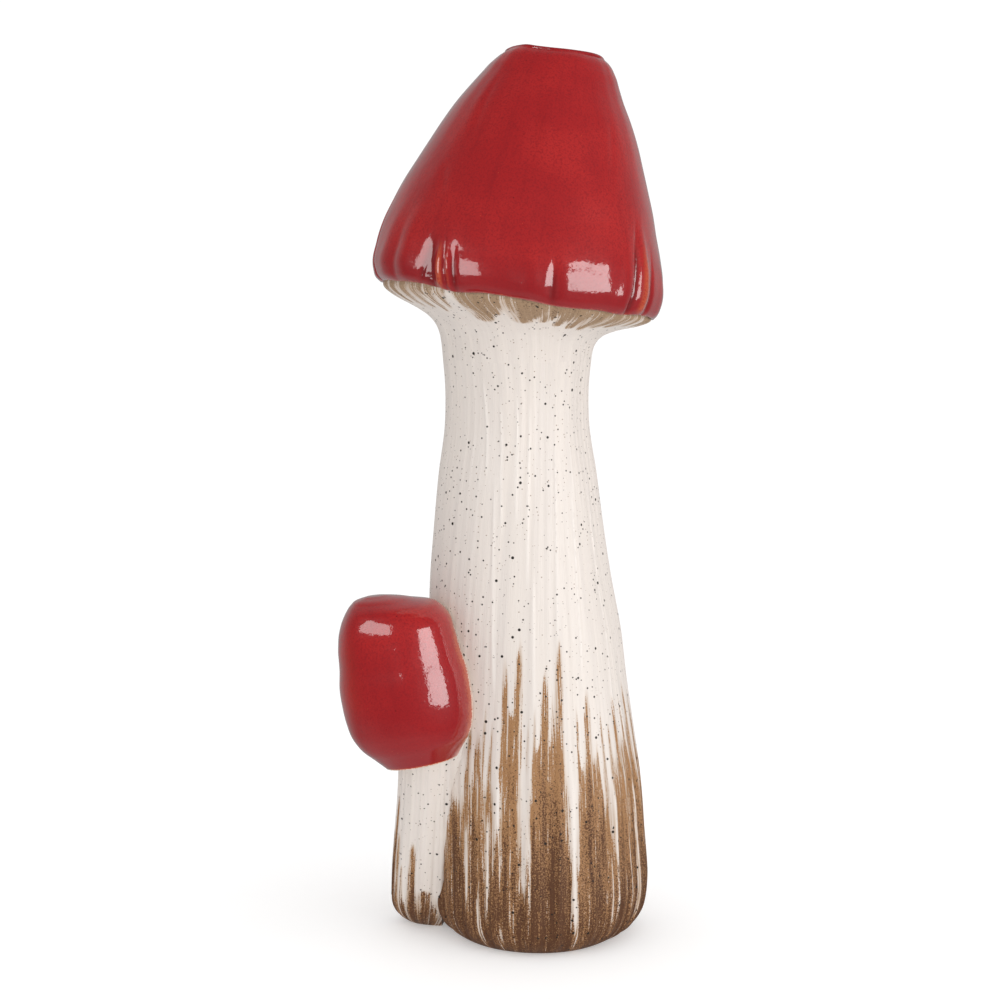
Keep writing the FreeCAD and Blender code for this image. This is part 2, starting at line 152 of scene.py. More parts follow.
# Height, radius and shift to the left
DOME_SHARES = [
    (0, 0.95, 0), (0.012, 0.974, 0.2), (0.043, 1, 0.4), (0.15, 0.998, 0.6), (0.24, 0.964, 0.8),
    (0.326, 0.916, 0.8), (0.412, 0.867, 0.65), (0.498, 0.807, 0.45), (0.585, 0.745, 0.25),
    (0.672, 0.682, 0.05), (0.758, 0.61, -0.1), (0.848, 0.52, -0.35), (0.892, 0.477, -0.6),
    (0.938, 0.432, -0.75), (0.98, 0.368, -0.8), (1, 0.3116, -0.78),
]

# Height of the rings of the domes' hollows, from the top down
HOLLOW_SHARES = (0.85, 0.76, 0.67, 0.58, 0.5, 0.41, 0.33, 0.24, 0.15)
SMALL_HOLLOW_SHARES = (0.9, 0.8, 0.65, 0.5, 0.35, 0.2, 0.12)

# Height, radius and shift to the left
SMALL_DOME_SHARES = [
    (0, 0.571, 0), (0.067, 0.722, 0), (0.12, 0.841, 0), (0.187, 0.927, 0), (0.3, 0.988, 0), (0.4, 1, 0),
    (0.51, 0.988, 0), (0.61, 0.935, 0), (0.74, 0.894, 0), (0.82, 0.865, 0), (0.88, 0.79, 0.01),
    (0.925, 0.68, 0.03), (0.96, 0.5, 0.12), (0.985, 0.34, 0.18), (1, 0.16, 0.21),
]

# Way up the small stem, and girth
SMALL_STEM_SHARES = [(0, 1), (0.28, 1.02), (0.45, 0.99), (0.65, 0.95), (0.85, 0.97), (1, 1.04)]

# Relief of the dome. Each fold: angle at the hem, angle where it ends, half width in degrees, depth as a
# share of FOLD_DEPTH (below zero for a groove), and the share of the dome's height at which it ends.
FOLD_DEPTH = 2 * MM
FOLD_NARROWING = 0.35  # share of its width that a fold loses on its way up
NARROW_FOLD = 3.5  # half width in degrees below which a fold's crest breaks to orange
FOLD_SHARES = [
    (-66, -60, 6, 0.3, 0.4), (-58, -55, 2.5, -0.15, 0.3), (-50, -49, 5.5, 0.5, 0.36),
    (-43, -37, 1.1, -0.3, 0.12), (-36.8, -37.5, 4.2, -0.65, 0.27), (-36.3, -36.8, 1.4, -0.2, 0.2),
    (-32.2, -33, 1.8, 0.6, 0.24), (-29.4, -31.6, 1.1, -0.35, 0.25), (-27.7, -31, 1.1, 0.3, 0.27),
    (-25.6, -27, 1.8, -0.65, 0.2), (-18, -19, 6.5, 0.45, 0.28), (-5, -6, 4, -0.15, 0.3),
    (5, 3, 4.5, 0.45, 0.24), (13.6, 12.6, 2.3, -0.5, 0.2), (18, 17, 3, 0.1, 0.2), (37, 35, 9, 0.28, 0.35),
    (44, 49, 4.2, 0.4, 0.38), (49.7, 55.5, 1.9, -0.85, 0.4), (57, 60, 3.2, 0.5, 0.42),
    (63, 66, 1.6, -0.4, 0.3), (78, 78, 5, 0.35, 0.3), (98, 102, 2.2, -0.8, 0.5), (112, 112, 6, 0.4, 0.4),
    (133, 131, 1.6, -0.6, 0.36), (140, 139, 3, 0.4, 0.34), (147, 148, 1.4, -0.7, 0.3),
    (170, 172, 8, 0.35, 0.4), (193, 196, 2, -0.9, 0.5), (205, 206, 4, 0.45, 0.4), (222, 221, 7, 0.3, 0.35),
    (236, 238, 1.8, -0.7, 0.42), (243, 243, 2.4, 0.4, 0.3), (262, 262, 7, 0.3, 0.35),
    (279, 277, 2, -0.75, 0.45),
]

# Soft creases between the folds and the rim: angle and height share at each end, half width in degrees,
# and depth as a share of FOLD_DEPTH.
CREASE_SHARES = [
    (-43, 0.87, -37.5, 0.6, 2.8, -0.11), (-48, 0.82, -43, 0.6, 3.4, 0.05), (-46, 0.48, -40, 0.36, 3, -0.16),
    (-4, 0.8, -2.5, 0.5, 4, -0.16), (2, 0.8, 4, 0.5, 4, 0.1), (46, 0.74, 39, 0.45, 2.6, -0.1),
    (110, 0.85, 105, 0.5, 4, -0.25), (165, 0.8, 170, 0.5, 4, -0.2), (215, 0.85, 222, 0.5, 3, -0.28),
    (260, 0.8, 262, 0.45, 4, -0.2),
]

# Relief of the small dome: angle, half width in degrees, depth as a share of FOLD_DEPTH, and the height
# shares between which it lies.
SMALL_FOLD_SHARES = [
    (-82, 30, 0.7, 0.1, 0.9), (-47, 20, 0.5, 0.3, 1.1), (4, 13, 0.35, 0.25, 0.8),
    (-125, 10, -0.35, 0.1, 0.8), (-145, 9, 0.3, 0.1, 0.8), (-165, 8, -0.3, 0.1, 0.7),
]

# Unevenness of the surfaces, as waves round an axis: height, how much is added to it near the ground, seed,
# fewest and most crests, and how many waves are added up.
STEM_WAVES = [
    (0.35 * MM, 0, 1, 2, 7, 6),
    (0.07 * MM, 0.33 * MM, 2, 18, 46, 12),
    (0.025 * MM, 0.13 * MM, 3, 50, 120, 16),
]
SKIRT_WAVES = [(0.13 * MM, 0, 5, 60, 150, 16)]
DOME_WAVES = [(0.25 * MM, 0, 7, 2, 7, 7), (0.03 * MM, 0, 8, 12, 30, 9)]
SMALL_STEM_WAVES = [(0.3 * MM, 0, 12, 2, 6, 5), (0.2 * MM, 0, 13, 9, 24, 9), (0.06 * MM, 0, 14, 30, 60, 10)]
SMALL_DOME_WAVES = [(0.1 * MM, 0, 21, 2, 6, 5)]

# The hem's lower edge: angle, and how far it hangs below the joint as a share of HEM_DROP
HEM_DROP = 2 * MM
HEM_DROP_SHARES = [
    (-180, 0.5), (-150, 0.85), (-120, 0.3), (-90, 0.5), (-79, 0.25), (-60, 0.15), (-44, 0.1), (-34, 0.5),
    (-28, 0.85), (-14, 0.4), (1, 0.55), (17, 1), (35, 0.6), (46, 0.75), (56, 0.35), (65, 0.2), (90, 0.6),
    (120, 0.3), (150, 0.9), (180, 0.5),
]

# The rim's unevenness: angle, and rise as a share of RIM_LIP
RIM_LIP_SHARES = [
    (-180, -1.9), (-140, -1.8), (-105, -1.2), (-75, -0.5), (-52, 0.4), (-38, 0.9), (-24, 0.65), (-10, 0.6),
    (20, 1), (60, 1.4), (90, 0.8), (125, -0.6), (155, -1.6), (180, -1.9),
]

# Brush strokes up the tall stem's front: height of the tip as a share of the stem's height, angle about the
# foot's axis at the tip and at the ground, half width in degrees, and how much colour the brush held.
STROKE_SHARES = [
    (0.53, -24, -19.3, 2.5, 0.95), (0.56, -15, -18, 3.1, 0.95), (0.51, 1.1, -1.6, 3.1, 0.95),
    (0.56, 10.6, 5.5, 3.3, 0.98), (0.47, 29.4, 24.5, 3.1, 0.95), (0.45, 53.5, 55, 2.8, 0.9),
    (0.43, -20, -19, 4.6, 0.95), (0.37, -2, -3, 5.2, 0.95), (0.38, 8, 8, 6.2, 0.98),
    (0.34, 26, 25, 4.8, 0.95), (0.35, 33, 33, 5.7, 0.95), (0.35, 50, 50, 4.8, 0.9),
    (0.38, 60, 60, 4.8, 0.84), (0.4, 71, 70, 6.2, 0.86), (0.2, 3, 3, 14.3, 0.84), (0.2, 30, 30, 13.2, 0.84),
    (0.24, 58, 58, 17.6, 0.73), (0.2, -19, -19, 6.6, 0.78), (0.41, 45, 46, 1.8, 0.78),
    (0.43, 39, 40, 1.5, 0.78), (0.45, 64, 64, 1.8, 0.78), (0.47, 76, 75, 2.2, 0.78),
    (0.43, -9, -12, 1.2, 0.62), (0.45, -5.5, -6.5, 1.3, 0.67), (0.47, 5.5, 3, 1.1, 0.67),
    (0.45, 21, 21, 1.3, 0.67), (0.39, 34, 36, 1.3, 0.67), (0.3, -31, -34, 5.5, 0.67),
    (0.42, -30, -35, 1.4, 0.84), (0.45, -34, -40, 1.3, 0.73), (0.4, -38, -43, 2.4, 0.9),
    (0.41, -43, -50, 2, 0.78), (0.3, -43, -47, 5, 0.98), (0.26, -54, -58, 6, 0.9),
    (0.15, -27, -27, 6.6, 0.84), (0.1, -34, -36, 7.7, 0.78), (0.12, -13, -13, 3.3, 0.56),
]

# Bare lines between the strokes: height shares of the top and the bottom, angle, and half width in degrees
BARE_SHARES = [
    (0.36, 0.09, -11, 2.6), (0.24, 0, -7.9, 0.8), (0.5, 0.02, 17, 2.6), (0.33, 0.2, -25.5, 1.7),
    (0.42, 0.25, 36, 1.2), (0.3, 0.05, 44.3, 0.8), (0.17, 0.03, 40.4, 0.7), (0.25, 0.05, 56, 0.7),
    (0.3, 0.04, 65.5, 0.7), (0.2, 0.03, 73, 0.7), (0.08, 0, -24, 1.5), (0.12, 0, -38, 1.2),
    (0.26, 0.03, -32, 1.2), (0.25, 0.06, -46, 1.6),
]
BARE = 0.8  # how much of the colour is missing on a bare line
WASH = 0.85  # how thickly a wash of the colour lies at the ground
WASH_TOP = 0.4  # height share at which the wash ends
TIP_WIDTH = 0.35  # a stroke's width at its tip and at the ground, as shares of its half width
FOOT_WIDTH = 1.3
TIP_LOAD = 0.7  # share of the colour that is left in the brush near the tip

# Strokes where the photo doesn't look: seed, number, first and last angle, lowest and highest tip, and
# narrowest and widest half width.
STROKES_BEHIND = (4, 74, 80, 296, (0.14, 0.48), (1.2, 5))
SKIRT_STROKES_BEHIND = (9, 34, 74, 274, (0.28, 0.48), (1.6, 4.5))

# Brush strokes on the small stem, as on the tall one, round its own axis
SMALL_STROKE_SHARES = [
    (0.46, -28, -26, 7, 0.98), (0.22, -4, 0, 14, 0.85), (0.34, -48, -48, 3, 0.8), (0.5, -62, -62, 5, 0.85),
    (0.68, -78, -76, 8, 0.95), (0.6, -70, -69, 3, 0.85), (0.62, -84, -84, 5.5, 0.88),
    (0.5, -96, -98, 6.6, 0.98), (0.5, -110, -112, 6.6, 0.98), (0.45, -130, -128, 9.9, 0.98),
    (0.35, -150, -148, 12.1, 0.98), (0.5, -165, -168, 5.5, 0.98), (0.42, 170, 168, 8.8, 0.98),
    (0.3, 140, 142, 13.2, 0.98), (0.3, 60, 55, 9.9, 0.94),
]
SMALL_WASH = 0.45
SMALL_WASH_TOP = 0.22

# Brush strokes under the cap: height share of the rise where the stroke starts, angle there and at the hem,
# half width in degrees at the hem, and how much colour the brush held.
SKIRT_STROKE_SHARES = [
    (0.55, -20, -17.5, 7.6, 0.98), (0.72, -24, -25, 2.7, 0.92), (0.68, -12, -10, 3.2, 0.92),
    (0.59, 2.5, 1, 7.6, 0.98), (0.7, 8, 9, 3.2, 0.92), (0.64, 13, 19, 3.6, 0.98), (0.6, 22, 26, 4, 0.98),
    (0.58, 31, 33, 4, 0.98), (0.58, 39, 40, 4, 0.98), (0.64, 46, 48, 4, 0.98), (0.68, 54, 56, 3.6, 0.92),
    (0.74, 63, 64, 3.2, 0.86), (0.76, 72, 73, 3.2, 0.86), (0.7, -37, -34, 2.2, 0.69),
    (0.64, -43, -41, 2.7, 0.75), (0.68, -51, -49, 3.2, 0.8), (0.68, -60, -58, 3.6, 0.8),
    (0.72, -69, -68, 3.6, 0.8), (0.76, -79, -79, 4, 0.8),
]
SKIRT_STROKE_START = 1.05  # share of the rise from which these strokes run down

# Thin ridges up the tall stem: height shares of the top and the bottom, angle about the foot's axis at each
RIDGE_HEIGHT = 0.35 * MM
RIDGE_HALF_WIDTH = 0.9
RIDGE_SHARES = [
    (0.98, 0.8, -49, -43), (0.84, 0.42, -38, -29.5), (0.95, 0.7, -37, -30), (0.96, 0.72, -25, -21),
    (0.95, 0.6, -14.5, -12), (0.66, 0.4, -8, -6), (0.9, 0.5, 12, 9), (0.8, 0.45, 30, 26),
    (0.8, 0.3, 62, 52), (0.34, 0.02, 17.5, 16), (0.3, 0.02, -11, -8), (0.32, 0.04, 44.3, 44.3),
    (0.2, 0.02, 40.4, 40.4), (0.34, 0.1, -25.5, -25), (0.3, 0.03, 65.5, 65.5), (0.3, 0.03, -32, -32),
]

# Mesh

FINE = 0.62 * MM  # length of a face of the outside
COARSE = 6 * MM  # length of a face inside
STEM_COLUMNS = 432
DOME_COLUMNS = 560
SMALL_COLUMNS = 256
FOOT_ROWS = 28
SMALL_FOOT_ROWS = 22
SMALL_STEM_ROWS = 110
SMALL_DOME_ROWS = 150
SKIRT_ROWS = 70
RIM_ROWS = 4
SHARP_ANGLE = 50  # degrees between faces from which an edge is shaded as sharp


# Curves and places


def through(table, column, at):
    """A smooth curve through a table's column over its first column, at the places at."""
    places = np.array([row[0] for row in table], float)
    values = np.array([row[column] for row in table], float)
    slopes = np.gradient(values, places)
    at = np.clip(np.asarray(at, float), places[0], places[-1])
    low = np.clip(np.searchsorted(places, at, side="right") - 1, 0, len(places) - 2)
    step = places[low + 1] - places[low]
    t = (at - places[low]) / step
    start = (1 + 2 * t) * (1 - t) ** 2 * values[low] + t * (1 - t) ** 2 * step * slopes[low]
    end = t**2 * (3 - 2 * t) * values[low + 1] + t**2 * (t - 1) * step * slopes[low + 1]
    return start + end


def turned(tilt, bearing):
    """The matrix that tips the Z axis by tilt towards bearing, which runs from +X towards +Y."""
    axis = np.array([-math.sin(math.radians(bearing)), math.cos(math.radians(bearing)), 0])
    cross = np.cross(np.eye(3), axis)
    angle = math.radians(tilt)
    return np.eye(3) + math.sin(angle) * cross + (1 - math.cos(angle)) * cross @ cross


def columns(count):
    """The angles of a mesh's columns, with the seam at the back."""
    return np.linspace(-180, 180, count, endpoint=False)


def ring(radius, height, angles, shift=0):
    """Points round the Z axis at a height, whose middle is moved by shift to the left."""
    turn = np.radians(angles)
    flat = np.zeros_like(turn)
    return np.stack([radius * np.sin(turn) - shift, -radius * np.cos(turn), height + flat], axis=-1)


def angle_of(points):
    """The angle of each point about the foot's axis."""
    return np.degrees(np.arctan2(points[..., 0], -points[..., 1]))


def apart(angles, middle_angle):
    """How far each angle is from another, from -180 to 180."""
    return (angles - middle_angle + 180) % 360 - 180


def smooth_step(low, high, at):
    """0 below low, 1 above high, and smooth between."""
    t = np.clip((at - low) / (high - low), 0, 1)
    return t * t * (3 - 2 * t)


def plateau(start, full, waning, gone, at):
    """1 from full to waning, 0 below start and above gone, and smooth between."""
    return smooth_step(start, full, at) * (1 - smooth_step(waning, gone, at))


def hump(angles, middle_angle, half_width):
    """1 at an angle, and less to both sides of it, about a third at half_width."""
    return np.exp(-((apart(angles, middle_angle) / half_width) ** 2))


def waves(angles, heights, table, rise, low=0):
    """The unevenness of a table of waves, which drift round the axis by up to a turn over the rise."""
    relief = np.zeros(np.broadcast(angles, heights).shape)
    for height, added, seed, fewest, most, count in table:
        draw = np.random.default_rng(seed)
        crossed = np.zeros(relief.shape)
        for crests in draw.integers(fewest, most, count):
            phase = draw.uniform(0, 360)
            drift = draw.uniform(-1, 1) * 360 * heights / rise
            crossed += np.cos(np.radians(crests * angles + phase + drift))
        relief += (height + added * low) * (crossed / math.sqrt(count / 2))
    return relief


def per_row(values, like):
    """One value for each row, repeated for every point of the row."""
    return np.broadcast_to(values[:, None], like.shape[:2])


# Meshes


def add_object(name, data):
    """A new object in the scene."""
    added = bpy.data.objects.new(name, data)
    bpy.context.scene.collection.objects.link(added)
    return added


def build(name, rows, looped, attributes, outside):
    """A piece through rows of points, whose rows form a loop or are closed by a point at each end.

    attributes gives the values of the rows that outside picks, and the others get 0.
    """
    rows = np.asarray(rows)
    count, around = rows.shape[:2]
    index = np.arange(count * around).reshape(count, around)
    lower, upper = (index, np.roll(index, -1, axis=0)) if looped else (index[:-1], index[1:])
    following = [np.roll(part, -1, axis=1) for part in (lower, upper)]
    quads = np.stack([lower, following[0], following[1], upper], axis=-1).reshape(-1, 4)
    points, faces = rows.reshape(-1, 3), quads.tolist()
    if not looped:
        for edge, row in ((np.roll(index[0], -1), index[0]), (index[-1], np.roll(index[-1], -1))):
            faces += [[len(points), a, b] for a, b in zip(edge.tolist(), row.tolist())]
            points = np.vstack([points, rows.reshape(-1, 3)[row].mean(axis=0)])
    mesh = bpy.data.meshes.new(name)
    mesh.from_pydata(points, [], faces)
    mesh.shade_smooth()
    mesh.set_sharp_from_angle(angle=math.radians(SHARP_ANGLE))
    for label, values in attributes.items():
        depth = values.shape[2:]
        whole = np.zeros((len(points), *depth), np.float32)
        whole[index[outside].ravel()] = values.reshape(-1, *depth)
        kind, field = ("FLOAT_VECTOR", "vector") if depth else ("FLOAT", "value")
        mesh.attributes.new(label, kind, "POINT").data.foreach_set(field, whole.ravel())
    return add_object(name, mesh)


def flow_of(points, angles, radius):
    """Coordinates that run round an axis at a radius and up the surface, for what follows the brush."""
    turn = np.radians(np.broadcast_to(angles, points.shape[:2]))
    along = np.linalg.norm(np.diff(points, axis=0), axis=-1).mean(axis=1)
    way = per_row(np.concatenate([[0], np.cumsum(along)]), points)
    return np.stack([radius * np.sin(turn), -radius * np.cos(turn), way], axis=-1)


def groove(radius, height):
    """The corners of a slip groove, from the outside in: radius and height."""
    outer, inner = radius + SLIP_WIDTH / 2, radius - SLIP_WIDTH / 2
    return [(outer, 0), (outer, height), (inner, height), (inner, 0)]


def finish_piece(piece, material, slot, *nodes):
    """Gives a piece its material and its place in the frame."""
    piece.data.materials.append(material)
    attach(piece, "root")
    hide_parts(*nodes)


# Brush strokes


def painted(angles, heights, strokes, bare=(), wash=0):
    """How thickly the colour lies at each angle and height share, from 0 to 1, over a wash."""
    missed = np.ones(heights.shape) * (1 - wash)
    for tip, tip_angle, foot_angle, half_width, load in strokes:
        way = np.clip(heights / tip, 0, 1.2)
        left = np.clip(1 - way, 0, 1)
        middle_angle = foot_angle + (tip_angle - foot_angle) * way
        width = half_width * (TIP_WIDTH + (FOOT_WIDTH - TIP_WIDTH) * np.sqrt(left))
        along = (1 - smooth_step(0.86, 1.02, way)) * (TIP_LOAD + (1 - TIP_LOAD) * left)
        missed *= 1 - load * along * hump(angles, middle_angle, width)
    cover = 1 - missed
    for top, bottom, bare_angle, half_width in bare:
        between = plateau(bottom - 0.02, bottom + 0.05, top - 0.05, top, heights)
        cover *= 1 - BARE * between * hump(angles, bare_angle, half_width)
    return cover


def strokes_behind(seed, count, first, last, tips, widths):
    """Strokes where the photo doesn't look, evenly spread between two angles."""
    draw = np.random.default_rng(seed)
    strokes = []
    for step in range(count):
        angle = first + (last - first) * (step + draw.uniform(0, 1)) / count
        tip = draw.uniform(*tips) if step % 3 else tips[0]
        tip_angle = angle + draw.uniform(-3, 3)
        strokes.append((tip, tip_angle, angle, draw.uniform(*widths), draw.uniform(0.75, 1)))
    return strokes


# Tall stem


def stem_middle(height):
    """The middle of the tall stem at a height, in X and Y."""
    lean = through(STEM_SHARES, 1, height / STEM_HEIGHT)
    return np.stack([STEM_LEAN * lean, STEM_BACK * lean], axis=-1)


def stem_radius(height):
    """The tall stem's outside radius at a height."""
    girth = through(STEM_SHARES, 2, height / STEM_HEIGHT)
    return NECK_RADIUS + (STEM_RADIUS - NECK_RADIUS) * girth


def ridges(angles, heights):
    """How far up a thin ridge each place on the stem's side lies, from 0 to 1."""
    share = heights / STEM_HEIGHT
    rise = np.zeros(angles.shape)
    for top, bottom, top_angle, bottom_angle in RIDGE_SHARES:
        way = (share - bottom) / (top - bottom)
        middle_angle = bottom_angle + (top_angle - bottom_angle) * way
        along = plateau(0, 0.2, 0.8, 1, way)
        rise = np.maximum(rise, along * hump(angles, middle_angle, RIDGE_HALF_WIDTH))
    return rise


def stem_relief(angles, heights):
    """The unevenness of the stem's side at angles about the foot's axis."""
    low = 1 - smooth_step(0.05, 0.5, heights / STEM_HEIGHT)
    return waves(angles, heights, STEM_WAVES, STEM_HEIGHT, low) + RIDGE_HEIGHT * ridges(angles, heights)


def stem_row(radius, height, angles):
    """One ring of the tall stem."""
    row = ring(radius, height, angles)
    row[:, :2] += stem_middle(height)
    return row


def foot_side(stem_girth, rounding, rows):
    """Radius and height up the rounding of a foot."""
    turns = np.radians(np.linspace(FOOT_START, 90, rows))
    radii = stem_girth - rounding * (1 - np.sin(turns))
    return radii, rounding * (math.cos(math.radians(FOOT_START)) - np.cos(turns))


def make_main_stem():
    """The tall stem: foot, side, neck joint, bore and floor."""
    angles = columns(STEM_COLUMNS)
    radii, heights = foot_side(STEM_RADIUS, FOOT_ROUND, FOOT_ROWS)
    side = np.linspace(heights[-1], STEM_HEIGHT, round((STEM_HEIGHT - heights[-1]) / FINE))[1:]
    heights = np.concatenate([heights, side])
    radii = np.concatenate([radii, stem_radius(side)])
    outside = np.array([stem_row(r, z, angles) for r, z in zip(radii, heights)])
    about = angle_of(outside)
    up = per_row(heights, about)
    share_up = up / STEM_HEIGHT
    worn = hump(about, FOOT_TRIM_ANGLE, FOOT_TRIM_HALF_WIDTH) * (1 - smooth_step(0, FOOT_TRIM_HEIGHT, up))
    moved = stem_relief(about, up) * smooth_step(0, 0.02, share_up) - FOOT_TRIM * worn
    outside += moved[..., None] * ring(1, 0, angles)

    wash = WASH * (1 - smooth_step(0, WASH_TOP, share_up))
    cover = painted(about, share_up, STROKE_SHARES + strokes_behind(*STROKES_BEHIND), BARE_SHARES, wash)
    recess = radii[0] - FOOT_RING
    under = [ring(recess, FOOT_RECESS, angles), ring(recess, 0, angles)]
    bore = NECK_RADIUS - WALL
    neck = groove(NECK_RADIUS - WALL / 2, -SLIP_HEIGHT / 2) + [(bore, 0), (bore, -LIP_HEIGHT)]
    top = [stem_row(r, STEM_HEIGHT + z, angles) for r, z in neck]
    down = np.arange(STEM_HEIGHT - LIP_HEIGHT - COARSE, FLOOR_THICKNESS + COARSE, -COARSE)
    inside = [stem_row(stem_radius(z) - WALL, z, angles) for z in down]
    floor = [stem_row(stem_radius(0) - 2 * WALL, FLOOR_THICKNESS, angles)]
    rows = under + list(outside) + top + inside + floor
    attributes = {
        "flow": flow_of(outside, about, STEM_RADIUS),
        "brown": cover,
        "low": 1 - smooth_step(0, 0.4, share_up),
        "ridge": ridges(about, up),
    }
    picked = slice(len(under), len(under) + len(outside))
    return build("main_stem_body", rows, False, attributes, picked)


# Underside of the cap


def skirt_row(share, angles, inwards=0):
    """One ring of the cap's underside, at a share of its rise, on the outside or a wall's width inwards."""
    flare, tilt, inward = (through(SKIRT_SHARES, column, share) for column in (1, 2, 3))
    outer = NECK_RADIUS + (HEM_RADIUS - NECK_RADIUS) * flare
    height = CAP_RISE * share + WALL * inwards * (1 - inward)
    row = ring(outer - WALL * inwards * inward, 0, angles) @ turned(CAP_TILT * tilt, CAP_BEARING).T
    return row + NECK + [0, 0, height]


def in_hem(radius, height, angles, shift=0):
    """One ring in the frame of the hem joint."""
    return ring(radius, height, angles, shift) @ turned(CAP_TILT, CAP_BEARING).T + HEM


def make_gill_skirt():
    """The cap's underside: spigot in the neck, flaring wall, and lip inside the dome."""
    angles = columns(STEM_COLUMNS)
    shares = np.linspace(0, SKIRT_SHARES[-1][0], SKIRT_ROWS)
    outside = np.array([skirt_row(share, angles) for share in shares])
    about = angle_of(outside)
    up = per_row(STEM_HEIGHT + CAP_RISE * shares, about)
    stem_like = (1 - smooth_step(0.3, 0.8, shares))[:, None]
    combed = plateau(0.45, 0.8, 0.97, 1.04, shares)[:, None]
    moved = stem_relief(about, up) * stem_like + waves(about, up, SKIRT_WAVES, STEM_HEIGHT) * combed
    outside += moved[..., None] * ring(1, 0, angles)

    strokes = [(SKIRT_STROKE_START - start, *rest) for start, *rest in SKIRT_STROKE_SHARES]
    strokes += strokes_behind(*SKIRT_STROKES_BEHIND)
    down = per_row(SKIRT_STROKE_START - shares, about)
    cover = painted(angles, down, strokes)
    lip = HEM_RADIUS - HEM_WALL - LIP_CLEARANCE
    spigot = NECK_RADIUS - WALL - LIP_CLEARANCE
    hem = groove(HEM_RADIUS - HEM_WALL / 2, -SLIP_HEIGHT / 2)
    hem += [(lip, 0), (lip, LIP_HEIGHT), (lip - LIP_WALL, LIP_HEIGHT), (lip - LIP_WALL, 0)]
    top = [in_hem(r, z, angles) for r, z in hem]
    inside = [skirt_row(share, angles, inwards=1) for share in SKIRT_INSIDE_SHARES]
    neck = [(spigot - LIP_WALL, 0), (spigot - LIP_WALL, -LIP_HEIGHT), (spigot, -LIP_HEIGHT), (spigot, 0)]
    neck += groove(NECK_RADIUS - WALL / 2, SLIP_HEIGHT / 2)[::-1]
    bottom = [ring(r, z, angles) + NECK for r, z in neck]
    rows = list(outside) + top + inside + bottom
    attributes = {"flow": flow_of(outside, about, STEM_RADIUS), "brown": cover}
    return build("gill_skirt_body", rows, True, attributes, slice(0, len(outside)))


# Dome


def folds(angles, shares, pleats=FOLD_SHARES, creases=CREASE_SHARES):
    """The dome's pleats and creases as shares of FOLD_DEPTH."""
    relief = np.zeros(np.broadcast(angles, shares).shape)
    for hem_angle, end_angle, half_width, depth, end in pleats:
        way = np.clip(shares / end, 0, 1)
        middle_angle = hem_angle + (end_angle - hem_angle) * way
        width = half_width * (1 - FOLD_NARROWING * way)
        strength = (1 - smooth_step(0.25, 1, way)) * smooth_step(-0.03, 0.035, shares)
        relief += depth * strength * hump(angles, middle_angle, width)
    for top_angle, top, low_angle, low, half_width, depth in creases:
        way = (shares - low) / (top - low)
        middle_angle = low_angle + (top_angle - low_angle) * way
        along = np.exp(-((2.2 * (way - 0.5)) ** 4))
        relief += depth * along * hump(angles, middle_angle, half_width)
    return relief


